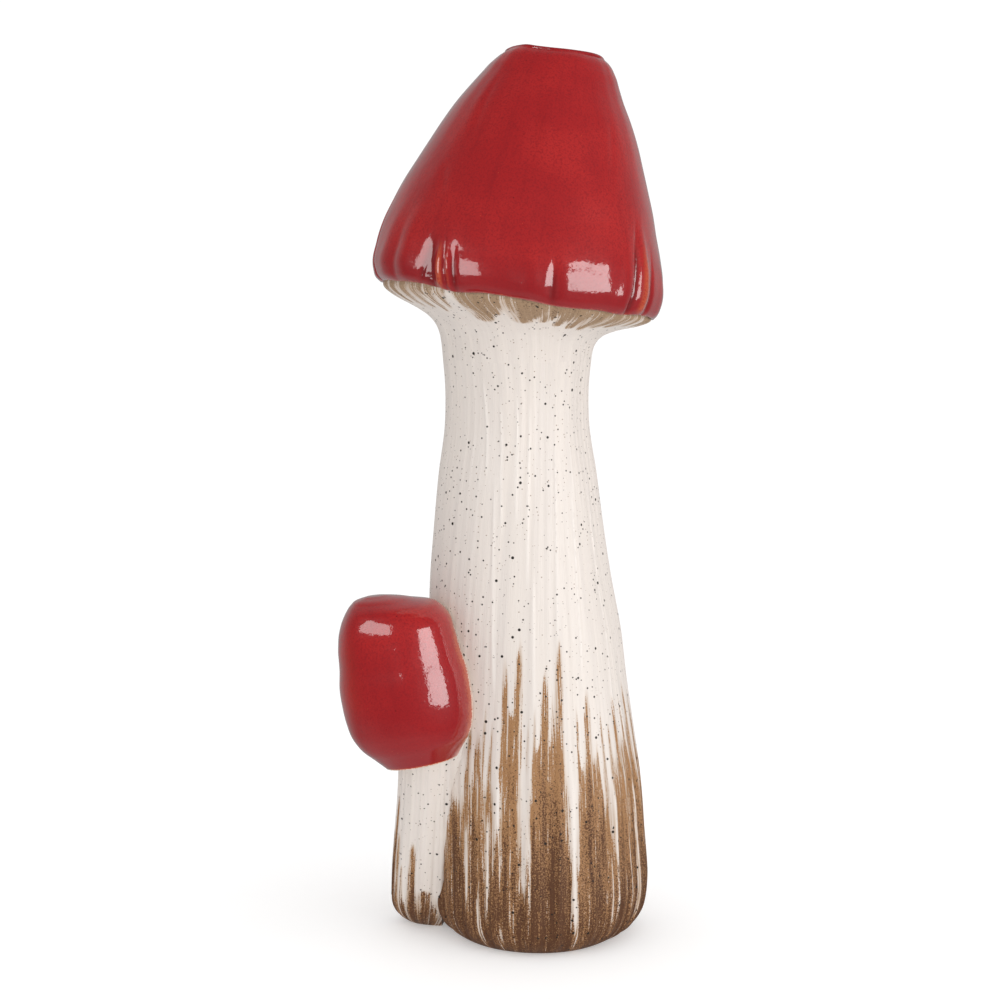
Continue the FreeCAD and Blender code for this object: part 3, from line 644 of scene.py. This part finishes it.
def make_cap_dome():
    """The red dome: hem, pleated side, rim, mouth, hollow and joint face."""
    angles = columns(DOME_COLUMNS)
    shares = np.linspace(0, 1, round(DOME_SLANT * DOME_HEIGHT / FINE))
    shares = shares[shares < 1 - RIM_ROUND / DOME_HEIGHT]
    radii = DOME_RADIUS * through(DOME_SHARES, 1, shares)
    shifts = DOME_SHIFT * through(DOME_SHARES, 2, shares)
    relief = folds(angles, shares[:, None])
    uneven = waves(angles, DOME_HEIGHT * shares[:, None], DOME_WAVES, DOME_HEIGHT)
    moved = FOLD_DEPTH * relief + uneven * smooth_step(0, 0.08, shares)[:, None]
    drop = HEM_DROP * through(HEM_DROP_SHARES, 1, angles)
    sag = drop * (1 - smooth_step(0, 0.09, shares))[:, None]
    raised = RIM_LIP * through(RIM_LIP_SHARES, 1, angles) * smooth_step(0.88, 1, shares)[:, None]
    outside = np.array([
        in_hem(r + out, DOME_HEIGHT * share - down + up, angles, shift)
        for r, share, shift, out, down, up in zip(radii, shares, shifts, moved, sag, raised)
    ])

    turns = np.radians(np.linspace(0, 90, RIM_ROWS + 1)[1:])
    rim_shift, top_lift = -MOUTH_SHIFT, raised[-1]
    rim_rows = [(radii[-1] - RIM_ROUND * (1 - math.cos(t)), RIM_ROUND * math.sin(t)) for t in turns]
    rim_rows += [(MOUTH_RADIUS + RIM_ROUND * (1 - math.sin(t)), RIM_ROUND * math.cos(t)) for t in turns]
    rim_base = DOME_HEIGHT - RIM_ROUND
    rim = [in_hem(r, rim_base + z + top_lift, angles, rim_shift) for r, z in rim_rows]
    throat = DOME_HEIGHT - MOUTH_LENGTH
    inner = [(MOUTH_RADIUS, throat), (MOUTH_RADIUS + WALL / 2, throat)]
    inside = [in_hem(r, z, angles, rim_shift) for r, z in inner]
    for share in HOLLOW_SHARES:
        radius = DOME_RADIUS * through(DOME_SHARES, 1, share) - WALL - FOLD_DEPTH
        shift = DOME_SHIFT * through(DOME_SHARES, 2, share)
        inside.append(in_hem(radius, DOME_HEIGHT * share, angles, shift))
    seat = HEM_RADIUS - HEM_WALL
    hem = [(seat, LIP_HEIGHT + LIP_CLEARANCE), (seat, 0)]
    hem += groove(HEM_RADIUS - HEM_WALL / 2, SLIP_HEIGHT / 2)[::-1]
    face = [in_hem(r, z, angles) for r, z in hem]
    lip = [in_hem(HEM_RADIUS, 0, angles), in_hem(HEM_RADIUS + LIP_CLEARANCE, -drop, angles)]
    rows = list(outside) + rim + inside + face + lip
    narrow = [fold for fold in FOLD_SHARES if fold[2] < NARROW_FOLD and fold[3] > 0]
    crests = folds(angles, shares[:, None], narrow, [])
    attributes = {
        "flow": flow_of(outside, angles, DOME_RADIUS),
        "tone": np.clip(1.5 * relief, -1, 0) + np.clip(2 * crests, 0, 1),
        "edge": per_row(1 - smooth_step(0, 0.02, shares) + smooth_step(0.985, 1, shares), relief),
        "way": per_row(shares, relief),
    }
    return build("cap_dome_body", rows, True, attributes, slice(0, len(outside)))


# Small mushroom


def clearance(points):
    """How far each point lies outside the tall stem's surface, and its direction from the stem's axis."""
    away = points[..., :2] - stem_middle(points[..., 2])
    distance = np.linalg.norm(away, axis=-1)
    return distance - stem_radius(points[..., 2]), away / distance[..., None]


def kept_out(points, least):
    """The points, moved out where they lie less than least outside the tall stem's surface."""
    outside, direction = clearance(points)
    short = np.clip(least - outside, 0, None)
    points = points.copy()
    points[..., :2] += short[..., None] * direction
    return points


def small_stem_row(radius, share, angles):
    """One ring of the small stem, at a share of the way from its foot to its top."""
    return ring(radius, 0, angles) + SMALL_FOOT + (SMALL_STEM_TOP - SMALL_FOOT) * share


def make_small_stem():
    """The small stem: foot, side that meets the tall stem, and vent."""
    angles = columns(SMALL_COLUMNS)
    radii, heights = foot_side(SMALL_STEM_RADIUS, SMALL_FOOT_ROUND, SMALL_FOOT_ROWS)
    shares = np.linspace(heights[-1] / SMALL_STEM_TOP[2], 1, SMALL_STEM_ROWS)
    side = SMALL_STEM_RADIUS * through(SMALL_STEM_SHARES, 1, shares)
    foot = [small_stem_row(r, z / SMALL_STEM_TOP[2], angles) for r, z in zip(radii, heights)]
    outside = np.array(foot + [small_stem_row(r, share, angles) for r, share in zip(side[1:], shares[1:])])
    up = outside[..., 2]
    share_up = up / SMALL_STEM_TOP[2]
    moved = waves(angles, up, SMALL_STEM_WAVES, STEM_HEIGHT) * smooth_step(0, 0.06, share_up)
    gap, _ = clearance(outside)
    fillet = SMALL_FILLET * np.exp(-np.clip(gap, 0, None) / SMALL_FILLET_REACH)
    fillet *= plateau(0, 0.1, 0.45, 0.75, share_up)
    rounded = np.clip(SMALL_STEM_RADIUS - np.concatenate([radii, side[1:]]), 0, None)[:, None]
    towards = math.degrees(math.atan2(-SMALL_FOOT[0], SMALL_FOOT[1]))
    filled = rounded * hump(angles, towards, SMALL_FOOT_FILL) * (1 - smooth_step(0.1, 0.2, share_up))
    outside += (moved + fillet + filled)[..., None] * ring(1, 0, angles)
    outside = kept_out(outside, -SUNK)
    wash = SMALL_WASH * (1 - smooth_step(0, SMALL_WASH_TOP, share_up))
    cover = painted(angles, share_up, SMALL_STROKE_SHARES, wash=wash)
    vent = [small_stem_row(VENT_RADIUS, 1, angles), small_stem_row(VENT_RADIUS, 0, angles)]
    rows = list(outside) + vent
    attributes = {
        "flow": flow_of(outside, angles, SMALL_STEM_RADIUS),
        "brown": cover,
        "low": 1 - smooth_step(0, 0.8, share_up),
    }
    return build("small_stem_body", rows, True, attributes, slice(0, len(outside)))


def in_small_cap(radius, height, angles, shift=0):
    """One ring in the small cap's frame."""
    return ring(radius, height, angles, shift) @ turned(SMALL_TILT, SMALL_TILT_BEARING).T + SMALL_SEAT


def make_small_dome():
    """The small red dome, sunk into the side of the tall stem."""
    angles = columns(SMALL_COLUMNS)
    shares = np.sin(np.radians(np.linspace(0, 90, SMALL_DOME_ROWS))) ** 1.1
    radii = SMALL_RADIUS * through(SMALL_DOME_SHARES, 1, shares)
    shifts = SMALL_RADIUS * through(SMALL_DOME_SHARES, 2, shares)
    rise = SMALL_DOME_HEIGHT - SMALL_HEM_HEIGHT
    outside = np.array([
        in_small_cap(r, SMALL_HEM_HEIGHT + rise * share, angles, shift)
        for r, share, shift in zip(radii, shares, shifts)
    ])
    relief = np.zeros(outside.shape[:2])
    for fold_angle, half_width, depth, low, high in SMALL_FOLD_SHARES:
        along = plateau(low - 0.1, low + 0.15, high - 0.2, high, shares)
        relief += depth * along[:, None] * hump(angles, fold_angle, half_width)
    to_the_right = radii[:, None] * np.sin(np.radians(angles))
    outside[..., 2] -= SMALL_TOP_SLOPE * to_the_right * smooth_step(0.7, 1, shares)[:, None]
    uneven = waves(angles, rise * shares[:, None], SMALL_DOME_WAVES, DOME_HEIGHT)
    settled = plateau(0, 0.1, 0.9, 1, shares)[:, None]
    outside += (FOLD_DEPTH * relief + uneven * settled)[..., None] * ring(1, 0, angles)
    gap, _ = clearance(outside)
    outside = kept_out(outside, -SUNK)
    near = np.exp(-np.clip(gap, 0, None) / NEAR)
    outside[..., 2] += SMALL_CLIMB * near * smooth_step(0.75, 0.95, shares)[:, None]
    near = np.maximum(near, per_row(1 - smooth_step(0, 0.02, shares), relief))
    attributes = {
        "flow": flow_of(outside, angles, SMALL_RADIUS),
        "tone": SMALL_TONE * relief,
        "edge": np.maximum(per_row(1 - smooth_step(0, 0.05, shares), relief), NEAR_EDGE * near),
        "near": near,
        "way": SMALL_WAY * per_row(shares, relief),
    }
    hollow = []
    for share in SMALL_HOLLOW_SHARES:
        radius = SMALL_RADIUS * through(SMALL_DOME_SHARES, 1, share) - SMALL_WALL
        height = SMALL_WALL + (SMALL_DOME_HEIGHT - 2 * SMALL_WALL) * share
        hollow.append(kept_out(in_small_cap(radius, height, angles), SMALL_WALL))
    seat = [(SMALL_BORE_RADIUS, SMALL_SEAT_DEPTH + SMALL_WALL), (SMALL_BORE_RADIUS, SMALL_SEAT_DEPTH)]
    seat += [(SMALL_SEAT_RADIUS, SMALL_SEAT_DEPTH), (SMALL_SEAT_RADIUS, SMALL_HEM_HEIGHT)]
    hollow += [kept_out(in_small_cap(r, z, angles), -SUNK) for r, z in seat]
    rows = hollow + list(outside)
    return build("small_dome_body", rows, False, attributes, slice(len(hollow), len(rows)))


# Node helpers


def node(tree, kind, inputs=(), **settings):
    """A new shader node with its settings and inputs, which are values or other nodes' outputs."""
    made = tree.nodes.new("ShaderNode" + kind)
    for name, value in settings.items():
        setattr(made, name, value)
    for name, value in dict(inputs).items():
        if isinstance(value, bpy.types.NodeSocket):
            tree.links.new(value, made.inputs[name])
        else:
            made.inputs[name].default_value = value
    return made


def attribute(tree, name, output="Fac"):
    """What a mesh attribute says at each point."""
    return node(tree, "Attribute", attribute_name=name).outputs[output]


def math_node(tree, operation, a, b=0, clamp=False):
    """The result of a sum, product or other operation on two values."""
    return node(tree, "Math", {0: a, 1: b}, operation=operation, use_clamp=clamp).outputs[0]


def total(tree, *terms):
    """The sum of values, each with its weight."""
    result = 0
    for value, weight in terms:
        inputs = {0: value, 1: weight, 2: result}
        result = node(tree, "Math", inputs, operation="MULTIPLY_ADD").outputs[0]
    return result


def noise(tree, place, size, detail=2):
    """Noise from 0 to 1 whose lumps are about size across."""
    inputs = {"Vector": place, "Scale": 1 / size, "Detail": detail}
    return node(tree, "TexNoise", inputs).outputs["Fac"]


def stretched(tree, place, share):
    """A place whose third coordinate is scaled by share, so that noise there is drawn out along it."""
    return node(tree, "Mapping", {"Vector": place, "Scale": (1, 1, share)}).outputs[0]


def remap(tree, value, low, high, new_low=0, new_high=1):
    """A value smoothly remapped from one range to another."""
    inputs = {"Value": value, "From Min": low, "From Max": high, "To Min": new_low, "To Max": new_high}
    return node(tree, "MapRange", inputs, interpolation_type="SMOOTHSTEP").outputs[0]


def blend_values(tree, share, first, second):
    """Two values mixed by share."""
    return node(tree, "Mix", {0: share, 2: first, 3: second}).outputs[0]


def layered(tree, colour, *layers):
    """A colour under layers, each with a share that covers what is below it and a colour."""
    for share, over in layers:
        mixer = node(tree, "Mix", {0: share}, data_type="RGBA")
        for socket, value in ((mixer.inputs[6], colour), (mixer.inputs[7], over)):
            if isinstance(value, bpy.types.NodeSocket):
                tree.links.new(value, socket)
            else:
                socket.default_value = (*value, 1)
        colour = mixer.outputs[2]
    return colour


def specks(tree, place, size, share, radius):
    """1 on round specks, 0 elsewhere. A share of the cells of a size hold a speck each."""
    cells = node(tree, "TexVoronoi", {"Vector": place, "Scale": 1 / size})
    random = node(tree, "SeparateColor", {0: cells.outputs["Color"]})
    held = math_node(tree, "LESS_THAN", random.outputs[0], share)
    reach = remap(tree, random.outputs[1], 0, 1, radius / size / 2, radius / size)
    inside = math_node(tree, "SUBTRACT", reach, cells.outputs["Distance"])
    sharp = math_node(tree, "MULTIPLY", inside, size / SPECK_EDGE, clamp=True)
    return math_node(tree, "MULTIPLY", sharp, held)


def bump(tree, height, distance, normal=None):
    """A bump of a height from 0 to 1 that stands distance tall."""
    inputs = {"Height": height, "Distance": distance, "Strength": 1}
    if normal is not None:
        inputs["Normal"] = normal
    return node(tree, "Bump", inputs).outputs[0]


def uneven_normal(tree, place, bumps, normal=None):
    """The normal of a surface with bumps of several sizes."""
    for size, detail, height in bumps:
        normal = bump(tree, noise(tree, place, size, detail), height, normal)
    return normal


def connect(tree, shader, **outputs):
    """Links outputs to the shader's sockets, whose names have _ for a space here."""
    for socket, output in outputs.items():
        tree.links.new(output, shader.inputs[socket.replace("_", " ")])


def new_material(name, settings):
    """A material, its tree and its shader, with the settings that are the same all over the surface."""
    material = bpy.data.materials.new(name)
    material.use_nodes = True
    shader = material.node_tree.nodes["Principled BSDF"]
    for socket, value in settings.items():
        shader.inputs[socket].default_value = value
    return material, material.node_tree, shader


# Materials

CLAY = (0.76, 0.69, 0.635)
CLAY_COOL = (0.725, 0.66, 0.612)
# Paler clay for the streaks, also used as the painted highlight on the thin ridges
PALE_CLAY_AND_RIDGE_HIGHLIGHT = (0.86, 0.8, 0.75)
SPECK = (0.022, 0.016, 0.012)
FAINT_SPECK = (0.33, 0.25, 0.19)
TAN = (0.37, 0.19, 0.08)
BROWN = (0.11, 0.042, 0.016)
GREY_TAN = (0.36, 0.235, 0.14)
GREY_BROWN = (0.17, 0.1, 0.055)
VEIL = (0.44, 0.285, 0.17)
SLIP = (0.62, 0.52, 0.42)
SLIP_LIGHT = (0.72, 0.63, 0.53)
RED = (0.355, 0.01, 0.012)
RED_BRIGHT = (0.415, 0.015, 0.015)
RED_DARK = (0.25, 0.007, 0.011)
RED_GROOVE = (0.17, 0.005, 0.007)
ORANGE = (0.6, 0.12, 0.04)
CREAM = (0.78, 0.6, 0.5)

# Sizes of the noise in the stoneware and the glaze, and how far it is drawn out along the brush or the run
HAIRS = 0.6 * MM
BRISTLES = 1.6 * MM
STREAKS = 4 * MM
CLAY_GRAIN = 0.5 * MM
CLUSTERS = 14 * MM
RUNS = 3 * MM
CLOUDS = 24 * MM
GLAZE_GRAIN = 0.7 * MM
MOTTLE = 3 * MM
BRISTLE_STRETCH = 0.04
STREAK_STRETCH = 0.05
RUN_STRETCH = 0.12
HAIR_DEPTH = 0.12 * MM

# Bumps: size, detail and height
CLAY_BUMPS = [(1.1 * MM, 2, 0.035 * MM)]
GLAZE_BUMPS = [(5 * MM, 2, 0.1 * MM), (1.3 * MM, 3, 0.05 * MM)]
SLIP_BUMPS = [(0.4 * MM, 2, 0.05 * MM)]

# Specks: size of the cells, share of them that hold a speck, and the largest specks' radius
DARK_SPECKS = [(2 * MM, 0.55, 0.44 * MM), (3.2 * MM, 0.5, 0.64 * MM)]
FAINT_SPECKS = (1.5 * MM, 0.7, 0.3 * MM)
BRUSH_SPECKS = (1.2 * MM, 0.4, 0.3 * MM)
GLAZE_PITS = (4 * MM, 0.3, 0.35 * MM)
GLAZE_SPARKS = (2.2 * MM, 0.3, 0.16 * MM)
SLIP_SPECKS = (1.5 * MM, 0.2, 0.2 * MM)
SPECK_EDGE = 0.12 * MM


def stoneware(name, thin, thick):
    """Satin off-white stoneware with specks, brushed with a dry colour that is thin or thick."""
    material, tree, shader = new_material(name, {"Specular IOR Level": 0.25})
    place = node(tree, "TexCoord").outputs["Object"]
    flow = attribute(tree, "flow", "Vector")
    cover, low, ridge = (attribute(tree, label) for label in ("brown", "low", "ridge"))
    hairs = noise(tree, stretched(tree, flow, BRISTLE_STRETCH), HAIRS)
    bristles = noise(tree, stretched(tree, flow, BRISTLE_STRETCH), BRISTLES)
    streaks = noise(tree, stretched(tree, flow, STREAK_STRETCH), STREAKS)
    grain = noise(tree, place, CLAY_GRAIN)

    # The glazed clay with a painted highlight on the thin ridges, and the thin veil of colour round the
    # strokes
    veil = math_node(tree, "MULTIPLY", remap(tree, cover, 0.06, 0.6), remap(tree, hairs, 0.3, 0.6, 0.3, 0.9))
    clay = layered(
        tree,
        CLAY_COOL,
        (remap(tree, streaks, 0.35, 0.65), CLAY),
        (remap(tree, bristles, 0.5, 0.75, 0, 0.2), PALE_CLAY_AND_RIDGE_HIGHLIGHT),
        # Painted highlight: the thin ridges are painted paler than the clay round them
        (math_node(tree, "MULTIPLY", ridge, 0.55), PALE_CLAY_AND_RIDGE_HIGHLIGHT),
        (specks(tree, place, *FAINT_SPECKS), FAINT_SPECK),
        (veil, VEIL),
    )

    # The strokes, whose edges the bristles make ragged
    ragged = total(tree, (hairs, 1.5), (bristles, 1.3), (streaks, 0.6), (grain, 0.8), (1, -2.1))
    ragged = math_node(tree, "MULTIPLY", ragged, remap(tree, cover, 0.04, 0.3))
    laid = total(tree, (ragged, 1), (cover, 1))
    mask = remap(tree, laid, 0.42, 0.6)
    dark = total(tree, (laid, 1.1), (low, 0.85), (grain, 2.6), (streaks, 1), (1, -2.8))
    spots = specks(tree, place, *BRUSH_SPECKS)
    brush = layered(tree, thin, (remap(tree, dark, 0, 1), thick), (spots, SPECK))
    colour = layered(tree, clay, (mask, brush))

    # The dark specks, which lie in clusters
    clusters = noise(tree, place, CLUSTERS)
    for size, share, radius in DARK_SPECKS:
        crowd = remap(tree, clusters, 0.35, 0.65, 0.45 * share, 1.6 * share)
        colour = layered(tree, colour, (specks(tree, place, size, crowd, radius), SPECK))

    normal = bump(tree, total(tree, (hairs, 1), (mask, -0.5)), HAIR_DEPTH)
    normal = uneven_normal(tree, place, CLAY_BUMPS, normal)
    connect(tree, shader, Base_Color=colour, Roughness=remap(tree, mask, 0, 1, 0.42, 0.6), Normal=normal)
    return material


def red_glaze(name):
    """A glossy red glaze that is dark where it lies thick in grooves and orange where it runs off edges."""
    settings = {"Roughness": 0.35, "Coat Weight": 1, "Coat Roughness": 0.03, "Specular IOR Level": 0.1}
    material, tree, shader = new_material(name, settings)
    place = node(tree, "TexCoord").outputs["Object"]
    flow = attribute(tree, "flow", "Vector")
    tone, edge, near, way = (attribute(tree, label) for label in ("tone", "edge", "near", "way"))
    runs = noise(tree, stretched(tree, flow, RUN_STRETCH), RUNS, 3)
    clouds = noise(tree, place, CLOUDS, 3)
    grain = noise(tree, place, GLAZE_GRAIN, 3)

    # Clouds, runs and grain, darker towards the hem and in the grooves. The crests and the edges break to
    # orange, and the clay shows where the small dome is luted on.
    patchy = remap(tree, grain, 0.3, 0.6, 0.3, 1)
    crests = math_node(tree, "MULTIPLY", remap(tree, tone, 0.2, 1, 0, 0.6), patchy)
    edges = total(tree, (grain, 1.4), (runs, 0.8), (edge, 1), (1, -1.1))
    bare = total(tree, (grain, 0.55), (near, 1))
    colour = layered(
        tree,
        RED,
        (remap(tree, clouds, 0.38, 0.68), RED_BRIGHT),
        (remap(tree, runs, 0.5, 0.8, 0, 0.4), RED_DARK),
        (remap(tree, grain, 0.42, 0.7, 0, 0.7), RED_DARK),
        (remap(tree, way, 0, 0.16, 0.75, 0), RED_DARK),
        (remap(tree, tone, -0.1, -0.9, 0, 0.8), RED_GROOVE),
        (crests, ORANGE),
        (remap(tree, edges, 0.75, 1.45, 0, 0.6), ORANGE),
        (specks(tree, place, *GLAZE_PITS), RED_GROOVE),
        (specks(tree, place, *GLAZE_SPARKS), ORANGE),
        (remap(tree, bare, 1, 1.1), CREAM),
    )

    normal = uneven_normal(tree, place, GLAZE_BUMPS)
    connect(tree, shader, Base_Color=colour, Normal=normal, Coat_Normal=normal)
    return material


def bare_clay(name):
    """The unglazed clay of the slip and of what shows only inside."""
    material, tree, shader = new_material(name, {"Roughness": 0.85})
    place = node(tree, "TexCoord").outputs["Object"]
    specked = specks(tree, place, *SLIP_SPECKS)
    colour = layered(tree, SLIP, (noise(tree, place, MOTTLE, 4), SLIP_LIGHT), (specked, SPECK))
    connect(tree, shader, Base_Color=colour, Normal=uneven_normal(tree, place, SLIP_BUMPS))
    return material


# Pieces

CLAY_MATERIAL = bare_clay("bare_clay")
STEM_MATERIAL = stoneware("brushed_stoneware", TAN, BROWN)
SKIRT_MATERIAL = stoneware("brushed_underside", GREY_TAN, GREY_BROWN)
GLAZE_MATERIAL = red_glaze("red_glaze")

finish_piece(make_main_stem(), STEM_MATERIAL, "stoneware", "main_stem")
finish_piece(make_gill_skirt(), SKIRT_MATERIAL, "stoneware", "gill_skirt")
finish_piece(make_cap_dome(), GLAZE_MATERIAL, "red_glaze", "cap_dome")
finish_piece(make_small_stem(), STEM_MATERIAL, "stoneware", "small_stem")
finish_piece(make_small_dome(), GLAZE_MATERIAL, "red_glaze", "small_dome")

for label in ("neck_slip", "hem_slip", "small_neck_slip", "small_hem_slip", "small_gills"):
    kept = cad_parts[label]
    kept.data.materials.clear()
    kept.data.materials.append(CLAY_MATERIAL)

# Floor

FLOOR_SIZE = 300 * MM  # from the middle to a side
FLOOR_COLOUR = (0.8, 0.8, 0.8, 1)
FLOOR_GLOW = 0.32  # brightness that it has of its own, so that it looks as white as the room behind


def make_floor():
    """A plain pale floor."""
    mesh = bpy.data.meshes.new("floor")
    corners = [(x * FLOOR_SIZE, y * FLOOR_SIZE, 0) for x, y in ((-1, -1), (1, -1), (1, 1), (-1, 1))]
    mesh.from_pydata(corners, [], [(0, 1, 2, 3)])
    floor = add_object("floor", mesh)
    settings = {"Base Color": FLOOR_COLOUR, "Emission Color": (1, 1, 1, 1), "Emission Strength": FLOOR_GLOW}
    settings |= {"Roughness": 0.9, "Specular IOR Level": 0.1}
    material, _, _ = new_material("floor", settings)
    mesh.materials.append(material)
    floor.visible_glossy = False


# Camera and light

CAMERA_TARGET = np.array([-16.6, 4, 170]) * MM
CAMERA_DISTANCE = 1100 * MM
CAMERA_PITCH = 9
SENSOR_WIDTH = 36
LENS = 102.6
KEY_AZIMUTH = 44
KEY_ELEVATION = 14

# Brightness of the room: as light from all sides, as more light from the key's side, and as the background
ROOM_LIGHT = 0.82
KEY_LIGHT = 0.84
ROOM_SEEN = 1.05

# Brightness of the room in the glaze: in front of the object, behind it and below it, and how far down the
# part below begins and is full
MIRRORED_FRONT = 0.1
MIRRORED_BACK = 0.4
MIRRORED_BELOW = 0.4
BELOW_START = -0.35
BELOW_FULL = -0.85

# Upright lamps that only the glaze shows: azimuth, distance, lowest and highest place, width and brightness
SOFTBOXES = {
    "left_softbox": (-43, 285 * MM, 195 * MM, 385 * MM, 240 * MM, 5.5),
    "right_softbox": (57, 800 * MM, 80 * MM, 520 * MM, 420 * MM, 8),
}


def make_camera():
    """A camera in front of the object that looks slightly down."""
    data = bpy.data.cameras.new("camera")
    data.sensor_width = SENSOR_WIDTH
    data.lens = LENS
    camera = add_object("camera", data)
    pitch = math.radians(CAMERA_PITCH)
    back = np.array([0, -math.cos(pitch), math.sin(pitch)])
    camera.location = CAMERA_TARGET + CAMERA_DISTANCE * back
    camera.rotation_euler = (math.pi / 2 - pitch, 0, 0)
    bpy.context.scene.camera = camera


def direction(azimuth, elevation):
    """The direction at an azimuth and an elevation."""
    turn, lift = math.radians(azimuth), math.radians(elevation)
    return np.array([math.sin(turn) * math.cos(lift), -math.cos(turn) * math.cos(lift), math.sin(lift)])


def make_softbox(name, azimuth, distance, low, high, width, brightness):
    """An upright lamp that the glaze mirrors, between two heights above the ground."""
    data = bpy.data.lights.new(name, "AREA")
    data.shape = "RECTANGLE"
    data.size = width
    data.size_y = high - low
    data.energy = brightness * math.pi * width * (high - low)
    light = add_object(name, data)
    light.location = distance * direction(azimuth, 0) + [0, 0, (low + high) / 2]
    light.rotation_euler = (math.pi / 2, 0, math.radians(azimuth))
    light.visible_diffuse = False
    light.visible_camera = False


def make_world():
    """A pale room, lit softly from the right, which the glaze mirrors as dim in front of the object."""
    world = bpy.data.worlds.new("studio")
    world.use_nodes = True
    tree = world.node_tree
    background = tree.nodes["Background"]
    background.inputs["Color"].default_value = (1, 1, 1, 1)
    way = node(tree, "TexCoord").outputs["Generated"]
    rays = node(tree, "LightPath").outputs
    key = {0: way, 1: direction(KEY_AZIMUTH, KEY_ELEVATION)}
    facing = node(tree, "VectorMath", key, operation="DOT_PRODUCT").outputs["Value"]
    facing = math_node(tree, "MAXIMUM", facing, 0)
    light = total(tree, (math_node(tree, "POWER", facing, 2), KEY_LIGHT), (1, ROOM_LIGHT))
    parts = node(tree, "SeparateXYZ", {0: way}).outputs
    behind = remap(tree, parts[1], 0, 1, MIRRORED_FRONT, MIRRORED_BACK)
    below = remap(tree, parts[2], BELOW_START, BELOW_FULL, MIRRORED_FRONT, MIRRORED_BELOW)
    mirrored = math_node(tree, "MAXIMUM", behind, below)
    strength = blend_values(tree, rays["Is Glossy Ray"], light, mirrored)
    strength = blend_values(tree, rays["Is Camera Ray"], strength, ROOM_SEEN)
    tree.links.new(strength, background.inputs["Strength"])
    bpy.context.scene.world = world


make_floor()
make_camera()
make_world()
for label, softbox in SOFTBOXES.items():
    make_softbox(label, *softbox)
bpy.context.scene.view_settings.view_transform = "Standard"
